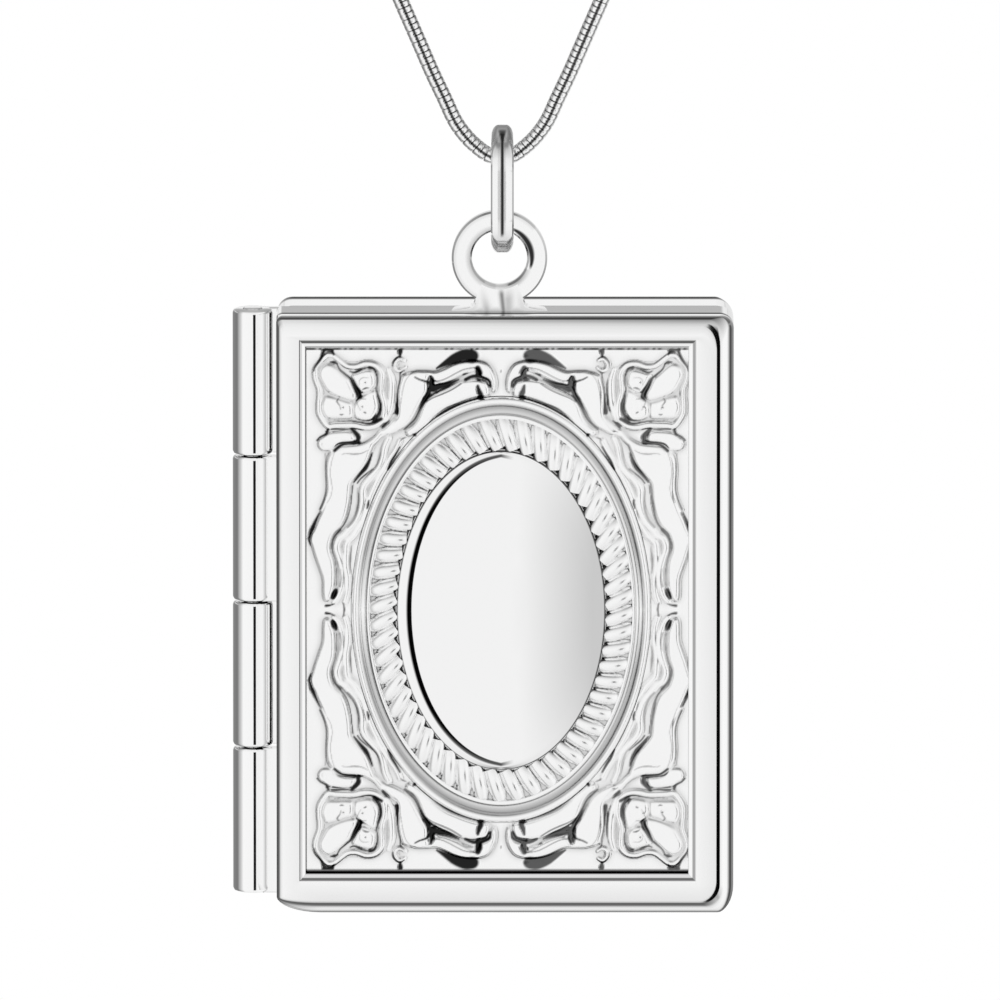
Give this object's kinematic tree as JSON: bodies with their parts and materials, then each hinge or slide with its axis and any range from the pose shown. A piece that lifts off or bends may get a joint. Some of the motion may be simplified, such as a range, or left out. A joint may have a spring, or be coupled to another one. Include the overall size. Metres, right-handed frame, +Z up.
{
  "type": "photo locket pendant on a snake chain necklace",
  "caption": "Rectangular hinged locket with a floral relief front and a polished oval, hung by a long ring bail from a closed snake chain necklace.",
  "frame": {"origin": "middle of the clasp at the back of the neck, where the closed necklace hangs", "axes": "+Z up along the hanging necklace, +X to the wearer's left as seen from the front, the relief front faces -Y"},
  "size_m": [0.1054, 0.0069, 0.2285],
  "materials": {
    "silver_chain": "polished silver, drawn strip links",
    "silver_polished": "high polish silver",
    "silver_cast": "polished cast silver, darker in its hollows",
    "silver_mirror": "mirror polished silver"
  },
  "bodies": {
    "necklace": {"snake_chain": "silver_chain", "clasp": "silver_polished"},
    "bail": {"bail": "silver_polished"},
    "front": {"front_cover": "silver_polished", "relief_panel": "silver_cast", "rope_frame": "silver_cast", "oval_plate": "silver_mirror", "hinge_pin": "silver_polished"},
    "back": {"back_cover": "silver_polished"}
  },
  "joints": [
    {"name": "bail_swing", "type": "hinge", "parent": "necklace", "child": "bail", "pos_m": [0, 0, -0.1842], "axis": [1, 0, 0], "range_deg": [-75, 75]},
    {"name": "locket_swing", "type": "hinge", "parent": "bail", "child": "front", "pos_m": [0, 0, -0.189], "axis": [0, 1, 0], "range_deg": [-60, 60]},
    {"name": "cover_open", "type": "hinge", "parent": "front", "child": "back", "pos_m": [-0.0141, 0.0008, -0.21], "axis": [0, 0, 1], "range_deg": [0, 180]}
  ]
}
